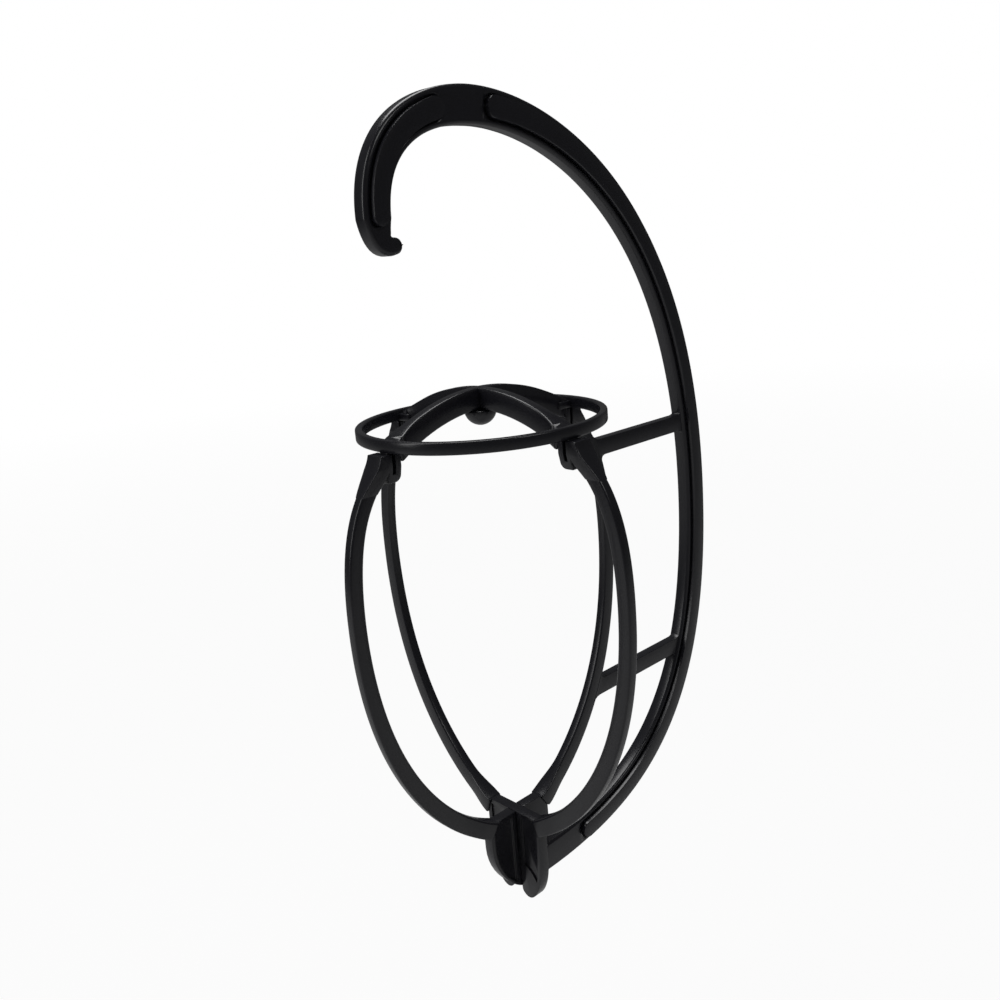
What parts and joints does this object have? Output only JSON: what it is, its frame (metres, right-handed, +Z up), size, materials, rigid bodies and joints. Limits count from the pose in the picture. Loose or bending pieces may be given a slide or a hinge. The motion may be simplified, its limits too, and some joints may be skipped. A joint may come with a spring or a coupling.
{
  "type": "hanging cage holder",
  "caption": "Black hanging salon holder: an open ribbed cage under a round crown ring, carried by a long curved arm that ends in a rail hook.",
  "frame": {"origin": "highest point inside the hook, where the holder hangs on a rail", "axes": "+Z up along the cage axis, +X from the cage towards the arm, +Y across the hook's plane"},
  "size_m": [0.2148, 0.1458, 0.3404],
  "materials": {
    "hook_frame_plastic": "gloss black moulded plastic",
    "cross_frame_plastic": "gloss black moulded plastic",
    "crown_plastic": "gloss black moulded plastic"
  },
  "bodies": {
    "hook_frame": {"hook_arm": "hook_frame_plastic", "upper_strut": "hook_frame_plastic", "lower_strut": "hook_frame_plastic", "rear_rib": "hook_frame_plastic", "front_rib": "hook_frame_plastic", "frame_hub": "hook_frame_plastic", "rear_socket": "hook_frame_plastic", "front_socket": "hook_frame_plastic"},
    "cross_frame": {"left_rib": "cross_frame_plastic", "right_rib": "cross_frame_plastic", "cross_hub": "cross_frame_plastic", "left_socket": "cross_frame_plastic", "right_socket": "cross_frame_plastic"},
    "crown": {"crown_ring": "crown_plastic", "main_arch": "crown_plastic", "cross_arch": "crown_plastic", "crown_knob": "crown_plastic"}
  },
  "joints": [
    {"name": "cross_lift", "type": "slide", "parent": "hook_frame", "child": "cross_frame", "axis": [0, 0, 1], "range_m": [0, 0.035]},
    {"name": "crown_lift", "type": "slide", "parent": "cross_frame", "child": "crown", "axis": [0, 0, 1], "range_m": [0, 0.015]}
  ]
}
